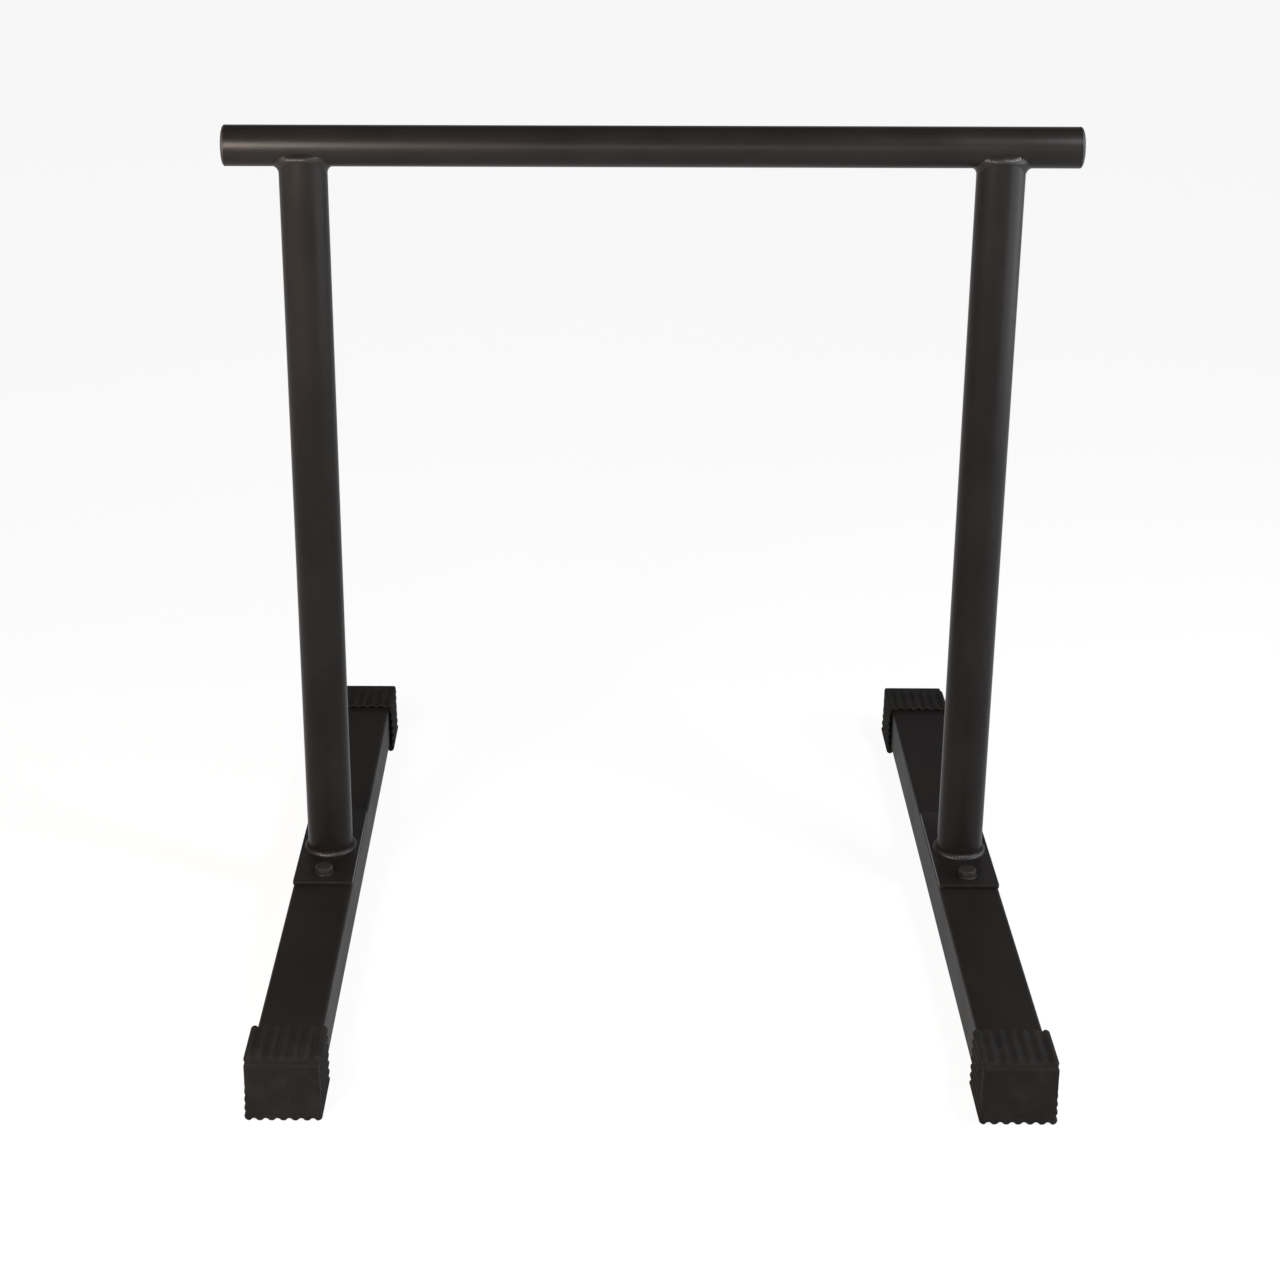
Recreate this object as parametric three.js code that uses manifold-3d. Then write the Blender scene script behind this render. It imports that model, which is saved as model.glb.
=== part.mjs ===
// A free-standing dip bar. A round grip bar is welded across two round uprights, and
// each upright is welded to a base plate that is bolted down on a box-section floor
// tube. A ribbed rubber cap is pushed over each end of the floor tubes.
// Millimetres. X runs along the grip bar, Y from front to back, and Z is up. The origin
// is on the floor, midway between the four caps.

import * as THREE from 'three';
import { mergeVertices } from 'three/addons/utils/BufferGeometryUtils.js';
import Module from 'manifold-3d';

const wasm = await Module();
wasm.setup();

// The whole stand
const gripBarLength = 665; // over both end plugs
const gripBarOverhang = 61.5; // from the middle of an upright to the bar's end
const gripAxisHeight = 660; // floor to the middle of the grip bar
const footLength = 660; // over both rubber caps

// Grip bar and its end plugs
const gripBarDiameter = 32;
const gripBarWall = 2;
const plugFlangeThickness = 2.5;
const plugEdgeRound = 1.2;
const plugShankLength = 16;
const plugShankWall = 2.4;
const plugBarbDepth = 1;
const plugBarbCount = 2;
const plugFit = 0.3; // between the plug's barbs and the bar's bore

// Uprights and their coped mouths
const uprightDiameter = 38;
const uprightWall = 2;
const copeLipDrop = 7; // the mouth's front and back lips stop this far below the bar's axis
const copeFit = 0.3;

// Weld beads
const saddleWeldLeg = 4.4;
const saddleRootDepth = 1;
const baseWeldLeg = 2.6;
const weldFit = 0.3;
const fullCrownShare = 0.8; // how far a full bead swells past the line between its toes
const hollowCrownShare = - 0.45; // how far a saddle bead is hollowed where it fills a corner
const lipLegShare = 0.4; // of a leg, how far a saddle bead reaches down an upright below a lip
const uprightToeShare = 0.12; // of a leg, how far a saddle bead stands out at its toe on the upright
const lipBlendPower = 6; // the higher, the sharper a saddle bead turns to follow a lip

// Floor tubes
const floorTubeWidth = 50;
const floorTubeHeight = 40;
const floorTubeWall = 2;
const floorTubeCorner = 3.5;

// Base plates
const basePlateLength = 130;
const basePlateThickness = 4;
const basePlateCorner = 3;
const basePlateEdge = 0.5;

// Bolts, washers and weld nuts
const boltSpacing = 98; // front bolt to back bolt of one plate
const boltDiameter = 8;
const boltLength = 20;
const boltHoleDiameter = 9;
const boltHeadWidth = 13; // across flats
const boltHeadHeight = 5.3;
const boltHeadTopShare = 0.95; // of the head's width, the flat left on top by turning its corners off
const boltTipChamfer = 1;
const washerDiameter = 16;
const washerThickness = 1.6;
const weldNutWidth = 14;
const weldNutHeight = 6.5;
const weldNutCorner = 1;
const threadFit = 0.3;

// Rubber caps
const capLength = 50;
const capTopWall = 2; // under the grooves between the ribs, like the next two
const capSideWall = 2.4;
const capSoleWall = 3.8;
const capRibHeight = 1.9; // at the top and the sole
const capSideRibHeight = 1.3;
const capEndWall = 5;
const capFit = 0.3;
const capCorner = 2.2; // between the ribs' feet
const capRunOut = 4; // over this length the ribs slope down to their ends
const capRunOutShare = 0.7; // of the cap's height, above which the ribs run out to nothing
const capSmoothBand = 7; // between the ribs' ends and the closed face
const capFaceRound = 2;
const capRibCount = 7; // ribs on each of the four sides, with one wrapped round each corner
const capCornerRibHalf = 1.5; // from a side's edge to the middle of the rib at its corner
const capGrooveEdgeShare = 0.34; // of the ribs' pitch, from a groove's middle to its edge
const capGrooveFloorShare = 0.14; // of the ribs' pitch, from a groove's middle to its floor's end

// How finely round things are drawn
const tubeSides = 40;
const plugSides = 24;
const fastenerSides = 20;
const cornerSteps = 4;
const weldSections = 40;
const weldFaceSteps = 3;

const overrun = 5; // how far a cutter runs past what it cuts

// Sizes worked out from the ones above
const gripRadius = gripBarDiameter / 2;
const uprightRadius = uprightDiameter / 2;
const uprightSpacing = gripBarLength - 2 * gripBarOverhang; // middle to middle
const capSoleBuildUp = capFit + capSoleWall + capRibHeight;
const floorTubeLength = footLength - 2 * ( capEndWall + capFit );
const floorTubeTop = capSoleBuildUp + floorTubeHeight;
const plateTop = floorTubeTop + basePlateThickness;
const gripAxisAbovePlate = gripAxisHeight - plateTop;

// Finishes
const blackPowderCoat = { color: 0x211f1f, roughness: 0.5, metalness: 0 };
const blackRubber = { color: 0x1d1d1c, roughness: 0.82, metalness: 0 };
const blackPlastic = { color: 0x1b1a1a, roughness: 0.55, metalness: 0 };
const blackenedSteel = { color: 0x2a2827, roughness: 0.45, metalness: 0.5 };
const bareSteel = { color: 0x77736e, roughness: 0.5, metalness: 0.9 };

// A closed mesh made into a solid that can be cut and joined
function solidFrom( geometry ) {

	const bare = geometry.clone();
	bare.deleteAttribute( 'normal' );
	bare.deleteAttribute( 'uv' );
	const merged = mergeVertices( bare );
	const mesh = new wasm.Mesh( {
		numProp: 3,
		vertProperties: merged.getAttribute( 'position' ).array,
		triVerts: new Uint32Array( merged.index.array )
	} );
	return new wasm.Manifold( mesh );

}

function geometryFrom( solid ) {

	const mesh = solid.getMesh();
	const geometry = new THREE.BufferGeometry();
	geometry.setAttribute( 'position', new THREE.BufferAttribute( mesh.vertProperties, 3 ) );
	geometry.setIndex( new THREE.BufferAttribute( mesh.triVerts, 1 ) );
	geometry.computeVertexNormals();
	return geometry;

}

function addPiece( parent, name, geometry, finish ) {

	const piece = new THREE.Mesh( geometry, new THREE.MeshStandardMaterial( finish ) );
	piece.name = name;
	parent.add( piece );
	return piece;

}

// A skin over a row of rings of points. Each ring turns counterclockwise about the way
// the row runs. A looped row joins its last ring to its first, and any other row is
// closed by a fan over each end.
function skin( rings, looped ) {

	const ringSize = rings[ 0 ].length;
	const points = rings.flat();
	const faces = [];
	const bands = looped ? rings.length : rings.length - 1;

	for ( let i = 0; i < bands; i ++ ) {

		const here = i * ringSize;
		const there = ( ( i + 1 ) % rings.length ) * ringSize;

		for ( let j = 0; j < ringSize; j ++ ) {

			const next = ( j + 1 ) % ringSize;
			faces.push( here + j, here + next, there + next );
			faces.push( here + j, there + next, there + j );

		}

	}

	if ( ! looped ) {

		const first = points.push( middleOf( rings[ 0 ] ) ) - 1;
		const last = points.push( middleOf( rings[ rings.length - 1 ] ) ) - 1;
		const lastRing = ( rings.length - 1 ) * ringSize;

		for ( let j = 0; j < ringSize; j ++ ) {

			const next = ( j + 1 ) % ringSize;
			faces.push( first, next, j );
			faces.push( last, lastRing + j, lastRing + next );

		}

	}

	const geometry = new THREE.BufferGeometry().setFromPoints( points );
	geometry.setIndex( faces );
	geometry.computeVertexNormals();
	return geometry;

}

function middleOf( ring ) {

	const middle = new THREE.Vector3();
	ring.forEach( ( point ) => middle.add( point ) );
	return middle.divideScalar( ring.length );

}

// A straight round tube standing on its lower end, along Z
function roundTube( radius, wall, length ) {

	const bore = radius - wall;
	const profile = [
		new THREE.Vector2( bore, 0 ),
		new THREE.Vector2( radius, 0 ),
		new THREE.Vector2( radius, length ),
		new THREE.Vector2( bore, length ),
		new THREE.Vector2( bore, 0 )
	];
	return new THREE.LatheGeometry( profile, tubeSides ).rotateX( Math.PI / 2 );

}

// A cylinder along Z, from the height `from` to the height `to`
function roundCutter( radius, from, to, sides ) {

	const cutter = new THREE.CylinderGeometry( radius, radius, to - from, sides );
	return cutter.rotateX( Math.PI / 2 ).translate( 0, 0, ( from + to ) / 2 );

}

// Points round a rectangle with round corners, counterclockwise
function roundedRectangle( width, height, corner ) {

	const points = [];

	for ( const [ side, end, turn ] of [ [ 1, 1, 0 ], [ - 1, 1, 1 ], [ - 1, - 1, 2 ], [ 1, - 1, 3 ] ] ) {

		for ( let step = 0; step <= cornerSteps; step ++ ) {

			const angle = ( turn + step / cornerSteps ) * Math.PI / 2;
			points.push( new THREE.Vector2(
				side * ( width / 2 - corner ) + corner * Math.cos( angle ),
				end * ( height / 2 - corner ) + corner * Math.sin( angle )
			) );

		}

	}

	return points;

}

// Points round a circle for a fastener or its hole, counterclockwise
function circle( radius, y = 0 ) {

	const points = [];

	for ( let i = 0; i < fastenerSides; i ++ ) {

		const angle = ( i / fastenerSides ) * 2 * Math.PI;
		points.push( new THREE.Vector2( radius * Math.cos( angle ), y + radius * Math.sin( angle ) ) );

	}

	return points;

}

// A flat outline with holes in it, raised from zero along Z
function slab( points, holes, depth ) {

	const outline = new THREE.Shape( points );
	outline.holes = holes.map( ( hole ) => new THREE.Path( hole ) );
	return new THREE.ExtrudeGeometry( outline, { depth, bevelEnabled: false } );

}

// The grip bar's tube, lying along X about its own middle
function gripBarTube() {

	const length = gripBarLength - 2 * plugFlangeThickness - 2 * plugFit;
	const tube = roundTube( gripRadius, gripBarWall, length ).translate( 0, 0, - length / 2 );
	return tube.rotateY( Math.PI / 2 );

}

// A push-in end plug: a flange with a rounded edge that covers the tube's end, and a
// hollow shank whose barbs narrow towards the bore. The flange's outer face is at zero
// and the shank points along -Z.
function endPlug() {

	const boreRadius = gripRadius - gripBarWall;
	const barbRadius = boreRadius - plugFit;
	const shankRadius = barbRadius - plugBarbDepth;
	const hollowRadius = shankRadius - plugShankWall;
	const seat = - plugFlangeThickness;
	const shankEnd = seat - plugShankLength;
	const barbPitch = plugShankLength / ( plugBarbCount + 1 );
	const profile = [
		new THREE.Vector2( 0, seat ),
		new THREE.Vector2( hollowRadius, seat ),
		new THREE.Vector2( hollowRadius, shankEnd ),
		new THREE.Vector2( shankRadius, shankEnd )
	];

	for ( let i = 0; i < plugBarbCount; i ++ ) {

		const barbStart = shankEnd + i * barbPitch;
		profile.push( new THREE.Vector2( barbRadius, barbStart + barbPitch ) );
		profile.push( new THREE.Vector2( shankRadius, barbStart + barbPitch ) );

	}

	profile.push( new THREE.Vector2( shankRadius, seat ) );
	profile.push( new THREE.Vector2( gripRadius, seat ) );

	for ( let i = 0; i <= cornerSteps; i ++ ) {

		const angle = ( i / cornerSteps ) * Math.PI / 2;
		profile.push( new THREE.Vector2(
			gripRadius - plugEdgeRound * ( 1 - Math.cos( angle ) ),
			- plugEdgeRound * ( 1 - Math.sin( angle ) )
		) );

	}

	profile.push( new THREE.Vector2( 0, 0 ) );
	return new THREE.LatheGeometry( profile, plugSides ).rotateX( Math.PI / 2 );

}

// An upright tube standing on its plate, its mouth coped to cradle the grip bar. The
// tube is wider than the bar, so the mouth ends in a lip at the front and the back.
function copedUpright() {

	const tube = roundTube( uprightRadius, uprightWall, gripAxisAbovePlate - copeLipDrop );
	const reach = uprightRadius + overrun;
	const barCutter = roundCutter( gripRadius + copeFit, - reach, reach, tubeSides );
	barCutter.rotateY( Math.PI / 2 ).translate( 0, 0, gripAxisAbovePlate );
	return geometryFrom( solidFrom( tube ).subtract( solidFrom( barCutter ) ) );

}

// One cross-section of the saddle bead, at an angle about the upright. The root lies
// where the upright's outside meets the bar, and levels out along the lips. One toe is a
// leg away on the bar and the other a leg down the upright. At the sides the bead fills
// a corner and its face is hollow, and over the lips it is short and full.
function saddleSection( angle ) {

	const across = Math.cos( angle );
	const along = Math.sin( angle );
	const lipY = Math.sqrt( gripRadius ** 2 - copeLipDrop ** 2 );
	const reachY = uprightRadius * along / lipY;
	const rootY = lipY * reachY / ( 1 + Math.abs( reachY ) ** lipBlendPower ) ** ( 1 / lipBlendPower );
	const rootTurn = Math.asin( rootY / gripRadius );
	const lipShare = along ** 2;
	const onBar = ( x, turn, radius ) => new THREE.Vector3(
		x,
		radius * Math.sin( turn ),
		gripAxisAbovePlate - radius * Math.cos( turn )
	);
	const buriedX = ( uprightRadius - saddleRootDepth ) * across;
	const root = onBar( buriedX, rootTurn, gripRadius - saddleRootDepth );
	const barToeTurn = rootTurn + ( saddleWeldLeg / gripRadius ) * along;
	const barToe = onBar( ( uprightRadius + saddleWeldLeg ) * across, barToeTurn, gripRadius );
	const toeRadius = uprightRadius + saddleWeldLeg * uprightToeShare;
	const rootHeight = gripAxisAbovePlate - gripRadius * Math.cos( rootTurn );
	const uprightToe = new THREE.Vector3(
		toeRadius * across,
		toeRadius * along,
		rootHeight - saddleWeldLeg * THREE.MathUtils.lerp( 1, lipLegShare, lipShare )
	);
	const crownShare = THREE.MathUtils.lerp( hollowCrownShare, fullCrownShare, lipShare );
	const middle = barToe.clone().lerp( uprightToe, 0.5 );
	const crown = middle.clone().addScaledVector( middle.clone().sub( root ), crownShare );
	const face = new THREE.QuadraticBezierCurve3( barToe, crown, uprightToe );
	return [ root, ...face.getPoints( weldFaceSteps ) ];

}

// The bead that joins an upright to the grip bar, in the upright's own place
function saddleWeld() {

	const sections = [];

	for ( let i = 0; i < weldSections; i ++ ) {

		sections.push( saddleSection( ( i / weldSections ) * 2 * Math.PI ) );

	}

	const reach = uprightRadius + saddleWeldLeg + overrun;
	const barCutter = roundCutter( gripRadius + weldFit, - reach, reach, tubeSides );
	barCutter.rotateY( Math.PI / 2 ).translate( 0, 0, gripAxisAbovePlate );
	const lipTop = gripAxisAbovePlate - copeLipDrop + weldFit;
	const lowest = gripAxisAbovePlate - gripRadius - saddleWeldLeg - overrun;
	const uprightCutter = roundCutter( uprightRadius + weldFit, lowest, lipTop, tubeSides );
	const bead = solidFrom( skin( sections, true ) );
	return geometryFrom( bead.subtract( solidFrom( barCutter ) ).subtract( solidFrom( uprightCutter ) ) );

}

// The fillet bead round the foot of an upright, on its plate
function baseWeld() {

	const inner = uprightRadius + weldFit;
	const leg = baseWeldLeg - weldFit;
	const root = new THREE.Vector2( inner, 0 );
	const plateToe = new THREE.Vector2( inner + leg, 0 );
	const uprightToe = new THREE.Vector2( inner, leg );
	const middle = plateToe.clone().lerp( uprightToe, 0.5 );
	const crown = middle.clone().addScaledVector( middle.clone().sub( root ), fullCrownShare );
	const face = new THREE.QuadraticBezierCurve( plateToe, crown, uprightToe );
	const profile = [ root, ...face.getPoints( weldFaceSteps ), root.clone() ];
	return new THREE.LatheGeometry( profile, tubeSides ).rotateX( Math.PI / 2 );

}

// The flat plate under an upright, with rounded corners, eased edges and a hole for
// each bolt
function basePlate() {

	const outline = new THREE.Shape( roundedRectangle(
		floorTubeWidth - 2 * basePlateEdge,
		basePlateLength - 2 * basePlateEdge,
		basePlateCorner
	) );
	const drilledRadius = boltHoleDiameter / 2 + basePlateEdge;
	const holeAt = ( y ) => new THREE.Path( circle( drilledRadius, y ) );
	outline.holes = [ holeAt( - boltSpacing / 2 ), holeAt( boltSpacing / 2 ) ];
	const plate = new THREE.ExtrudeGeometry( outline, {
		depth: basePlateThickness - 2 * basePlateEdge,
		bevelThickness: basePlateEdge,
		bevelSize: basePlateEdge,
		bevelSegments: 1
	} );
	return plate.translate( 0, 0, basePlateEdge );

}

// A rectangular tube along Y on its own lower wall, drilled for the bolts in its top wall
function floorTube() {

	const bore = roundedRectangle(
		floorTubeWidth - 2 * floorTubeWall,
		floorTubeHeight - 2 * floorTubeWall,
		floorTubeCorner - floorTubeWall
	);
	const outside = roundedRectangle( floorTubeWidth, floorTubeHeight, floorTubeCorner );
	const tube = slab( outside, [ bore ], floorTubeLength );
	tube.rotateX( Math.PI / 2 ).translate( 0, floorTubeLength / 2, floorTubeHeight / 2 );
	let drilled = solidFrom( tube );

	for ( const end of [ - 1, 1 ] ) {

		const from = floorTubeHeight - floorTubeWall - overrun;
		const drill = roundCutter( boltHoleDiameter / 2, from, floorTubeHeight + overrun, fastenerSides );
		drill.translate( 0, end * boltSpacing / 2, 0 );
		drilled = drilled.subtract( solidFrom( drill ) );

	}

	return geometryFrom( drilled );

}

// A hexagon bolt with its head's underside at zero. The head's corners are turned off
// on top at thirty degrees, and the shank ends in a chamfer.
function hexBolt() {

	const cornerRadius = boltHeadWidth / Math.sqrt( 3 );
	const head = roundCutter( cornerRadius, 0, boltHeadHeight, 6 );
	const topRadius = boltHeadTopShare * boltHeadWidth / 2;
	const coneRadius = topRadius + boltHeadHeight * Math.sqrt( 3 );
	const cone = new THREE.CylinderGeometry( topRadius, coneRadius, boltHeadHeight, fastenerSides );
	cone.rotateX( Math.PI / 2 ).translate( 0, 0, boltHeadHeight / 2 );
	const shankRadius = boltDiameter / 2;
	const tipTop = boltTipChamfer - boltLength;
	const shank = roundCutter( shankRadius, tipTop, boltHeadHeight / 2, fastenerSides );
	const tipRadius = shankRadius - boltTipChamfer;
	const tip = new THREE.CylinderGeometry( shankRadius, tipRadius, boltTipChamfer, fastenerSides );
	tip.rotateX( Math.PI / 2 ).translate( 0, 0, tipTop - boltTipChamfer / 2 );
	const turnedHead = solidFrom( head ).intersect( solidFrom( cone ) );
	return geometryFrom( turnedHead.add( solidFrom( shank ) ).add( solidFrom( tip ) ) );

}

function flatWasher() {

	return slab( circle( washerDiameter / 2 ), [ circle( boltHoleDiameter / 2 ) ], washerThickness );

}

// A square weld nut hanging under the floor tube's top wall, its top face at zero
function weldNut() {

	const outline = roundedRectangle( weldNutWidth, weldNutWidth, weldNutCorner );
	const thread = circle( boltDiameter / 2 + threadFit );
	return slab( outline, [ thread ], weldNutHeight ).translate( 0, 0, - weldNutHeight );

}

// The cap's outline at one depth, about the floor tube's axis: a rectangle with round
// corners and the ribs that stand out from it, one of them round each corner. The run-out
// is 0 where the ribs are whole and 1 at the face, where they still have all their height
// at the sole and none from the run-out share up. Counterclockwise about Z.
function ribbedOutline( inset, runOut, depth ) {

	const halfWidth = floorTubeWidth / 2 + capFit + capSideWall;
	const top = floorTubeHeight / 2 + capFit + capTopWall;
	const bottom = floorTubeHeight / 2 + capFit + capSoleWall;
	const reaches = [ halfWidth, top, halfWidth, bottom ];
	const ribHeights = [ capSideRibHeight, capRibHeight, capSideRibHeight, capRibHeight ];
	const ribShares = [
		[ - capGrooveEdgeShare, 1 ],
		[ - capGrooveFloorShare, 0 ],
		[ capGrooveFloorShare, 0 ],
		[ capGrooveEdgeShare, 1 ]
	];
	const ring = [];
	const addPoint = ( foot, outward, ribHeight ) => {

		const heightShare = ( foot.y + bottom ) / ( top + bottom );
		const runOutHere = runOut * Math.min( 1, heightShare / capRunOutShare );
		const offset = ribHeight * ( 1 - runOutHere ) - inset;
		ring.push( foot.clone().addScaledVector( outward, offset ).setZ( depth ) );

	};

	for ( let side = 0; side < 4; side ++ ) {

		const turn = side * Math.PI / 2;
		const away = new THREE.Vector3( Math.cos( turn ), Math.sin( turn ), 0 );
		const along = new THREE.Vector3( - Math.sin( turn ), Math.cos( turn ), 0 );
		const reach = reaches[ side ];
		const start = - reaches[ ( side + 3 ) % 4 ];
		const end = reaches[ ( side + 1 ) % 4 ];
		const ribHeight = ribHeights[ side ];
		const nextRibHeight = ribHeights[ ( side + 1 ) % 4 ];
		const pitch = ( end - start - 2 * capCornerRibHalf ) / ( capRibCount - 1 );

		for ( let groove = 0; groove < capRibCount - 1; groove ++ ) {

			const middle = start + capCornerRibHalf + ( groove + 0.5 ) * pitch;

			for ( const [ placeShare, ribShare ] of ribShares ) {

				const foot = away.clone().multiplyScalar( reach );
				foot.addScaledVector( along, middle + placeShare * pitch );
				addPoint( foot, away, ribShare * ribHeight );

			}

		}

		const centre = away.clone().multiplyScalar( reach - capCorner );
		centre.addScaledVector( along, end - capCorner );

		for ( let step = 0; step <= cornerSteps; step ++ ) {

			const angle = ( step / cornerSteps ) * Math.PI / 2;
			const outward = away.clone().multiplyScalar( Math.cos( angle ) );
			outward.addScaledVector( along, Math.sin( angle ) );
			const foot = centre.clone().addScaledVector( outward, capCorner );
			const blended = THREE.MathUtils.lerp( ribHeight, nextRibHeight, step / cornerSteps );
			addPoint( foot, outward, blended );

		}

	}

	return ring;

}

// A moulded rubber cap about the floor tube's axis. Its mouth is at zero, its closed face
// looks along +Z and its top along +Y. The ribs start at the mouth. Behind the face they
// slope down, the more the higher they lie, and those of the sole reach the face. The
// socket inside takes the end of the floor tube.
function footCap() {

	const ribEnd = capLength - capSmoothBand;
	const roundStart = capLength - capFaceRound;
	const halfRound = capFaceRound * Math.SQRT1_2;
	const rings = [
		ribbedOutline( 0, 0, 0 ),
		ribbedOutline( 0, 0, ribEnd - capRunOut ),
		ribbedOutline( 0, 1, ribEnd ),
		ribbedOutline( 0, 1, roundStart ),
		ribbedOutline( capFaceRound - halfRound, 1, roundStart + halfRound ),
		ribbedOutline( capFaceRound, 1, capLength )
	];
	const outline = roundedRectangle(
		floorTubeWidth + 2 * capFit,
		floorTubeHeight + 2 * capFit,
		floorTubeCorner + capFit
	);
	const socket = slab( outline, [], capLength - capEndWall + overrun ).translate( 0, 0, - overrun );
	return geometryFrom( solidFrom( skin( rings, false ) ).subtract( solidFrom( socket ) ) );

}

// The grip bar with a plug in each end
function gripBarAssembly() {

	const group = new THREE.Group();
	group.position.z = gripAxisHeight;
	addPiece( group, 'grip_bar', gripBarTube(), blackPowderCoat );

	for ( const [ name, side ] of [ [ 'left', - 1 ], [ 'right', 1 ] ] ) {

		const plug = addPiece( group, `bar_end_plug_${ name }`, endPlug(), blackPlastic );
		plug.position.x = side * gripBarLength / 2;
		plug.rotation.y = side * Math.PI / 2;

	}

	return group;

}

// An upright welded to its base plate
function uprightAssembly( name ) {

	const group = new THREE.Group();
	group.position.z = plateTop;
	addPiece( group, `upright_${ name }`, copedUpright(), blackPowderCoat );
	addPiece( group, `saddle_weld_${ name }`, saddleWeld(), blackPowderCoat );
	addPiece( group, `base_weld_${ name }`, baseWeld(), blackPowderCoat );
	const plate = addPiece( group, `base_plate_${ name }`, basePlate(), blackPowderCoat );
	plate.position.z = - basePlateThickness;
	return group;

}

// A bolt with its washer on the base plate, and the weld nut it screws into
function boltAssembly( name ) {

	const group = new THREE.Group();
	group.position.z = plateTop;
	const bolt = addPiece( group, `hex_bolt_${ name }`, hexBolt(), blackenedSteel );
	bolt.position.z = washerThickness;
	addPiece( group, `washer_${ name }`, flatWasher(), blackenedSteel );
	const nut = addPiece( group, `weld_nut_${ name }`, weldNut(), bareSteel );
	nut.position.z = - basePlateThickness - floorTubeWall;
	return group;

}

// A floor tube with a rubber cap over each end
function floorTubeAssembly( name ) {

	const group = new THREE.Group();
	const tube = addPiece( group, `floor_tube_${ name }`, floorTube(), blackPowderCoat );
	tube.position.z = capSoleBuildUp;

	for ( const [ end, direction, turn ] of [ [ 'front', - 1, 0 ], [ 'rear', 1, Math.PI ] ] ) {

		const cap = addPiece( group, `foot_cap_${ name }_${ end }`, footCap(), blackRubber );
		const tubeAxisHeight = capSoleBuildUp + floorTubeHeight / 2;
		cap.position.set( 0, direction * ( footLength / 2 - capLength ), tubeAxisHeight );
		cap.rotation.set( Math.PI / 2, turn, 0 );

	}

	return group;

}

const dipStation = new THREE.Group();
dipStation.add( gripBarAssembly() );

for ( const [ name, side ] of [ [ 'left', - 1 ], [ 'right', 1 ] ] ) {

	const leg = new THREE.Group();
	leg.position.x = side * uprightSpacing / 2;
	leg.add( uprightAssembly( name ), floorTubeAssembly( name ) );

	for ( const [ end, direction ] of [ [ 'front', - 1 ], [ 'rear', 1 ] ] ) {

		const fastening = boltAssembly( `${ name }_${ end }` );
		fastening.position.y = direction * boltSpacing / 2;
		leg.add( fastening );

	}

	dipStation.add( leg );

}

export default dipStation;
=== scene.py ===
import bpy
import numpy as np
from mathutils import Matrix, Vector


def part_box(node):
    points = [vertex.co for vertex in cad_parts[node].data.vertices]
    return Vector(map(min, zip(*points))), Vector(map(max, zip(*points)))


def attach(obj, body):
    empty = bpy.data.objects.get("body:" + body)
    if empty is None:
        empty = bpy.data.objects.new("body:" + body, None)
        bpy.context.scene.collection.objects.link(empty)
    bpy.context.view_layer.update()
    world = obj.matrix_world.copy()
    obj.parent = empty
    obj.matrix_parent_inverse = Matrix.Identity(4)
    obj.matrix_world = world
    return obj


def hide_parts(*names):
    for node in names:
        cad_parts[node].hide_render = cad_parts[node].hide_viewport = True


# A free-standing dip bar in satin black: a round grip bar welded on two uprights that
# are bolted down on box-section floor tubes with ribbed rubber caps. Metres. X runs
# along the grip bar, Y from front to back, Z up, and the origin is on the floor.
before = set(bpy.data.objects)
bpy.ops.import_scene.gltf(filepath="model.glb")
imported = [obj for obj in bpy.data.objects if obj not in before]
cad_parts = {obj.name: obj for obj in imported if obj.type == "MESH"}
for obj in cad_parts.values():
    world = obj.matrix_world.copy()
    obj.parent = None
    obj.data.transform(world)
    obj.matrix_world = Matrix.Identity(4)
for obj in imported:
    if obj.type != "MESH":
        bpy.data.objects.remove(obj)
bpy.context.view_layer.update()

# Floor tubes. Each foot is a cold-formed rectangular steel tube, 50 by 40 mm, that lies
# from front to back. Its top wall is drilled for the two bolts of the base plate, and
# the whole tube is powder coated in a fine-textured satin black.
sides = {"left": -1, "right": 1}
ends = {"front": -1, "rear": 1}
tube_wall = 0.002
tube_corner = 0.0035
corner_steps = 10
flat_margin = 0.0003  # a row of points this far into a flat keeps its shading flat
bolt_hole_radius = 0.0045
hole_sides = 48
tube_sharp_degrees = 40
coat_black = (0.0059, 0.0054, 0.0052, 1)
coat_black_worn = (0.0075, 0.0069, 0.0066, 1)
coat_specular = 0.075
coat_roughness = 0.35
coat_roughness_change = 0.05  # added by wear, and as much again by grain
coat_cloud_scale = 16  # swells of a noise in a metre
coat_peel_scale = 700
coat_peel_height = 0.000028
coat_grain_scale = 2600
coat_grain_height = 0.000006


class Reading:
    """A number or colour that varies over a surface. Arithmetic on it adds Math nodes."""

    def __init__(self, finish, socket):
        self.finish = finish
        self.socket = socket

    def combine(self, operation, first, second):
        return self.finish.node("ShaderNodeMath", {"operation": operation}, {0: first, 1: second})

    def __add__(self, other):
        return self.combine("ADD", self, other)

    def __radd__(self, other):
        return self.combine("ADD", other, self)

    def __sub__(self, other):
        return self.combine("SUBTRACT", self, other)

    def __rsub__(self, other):
        return self.combine("SUBTRACT", other, self)

    def __mul__(self, other):
        return self.combine("MULTIPLY", self, other)

    def __rmul__(self, other):
        return self.combine("MULTIPLY", other, self)


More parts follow.
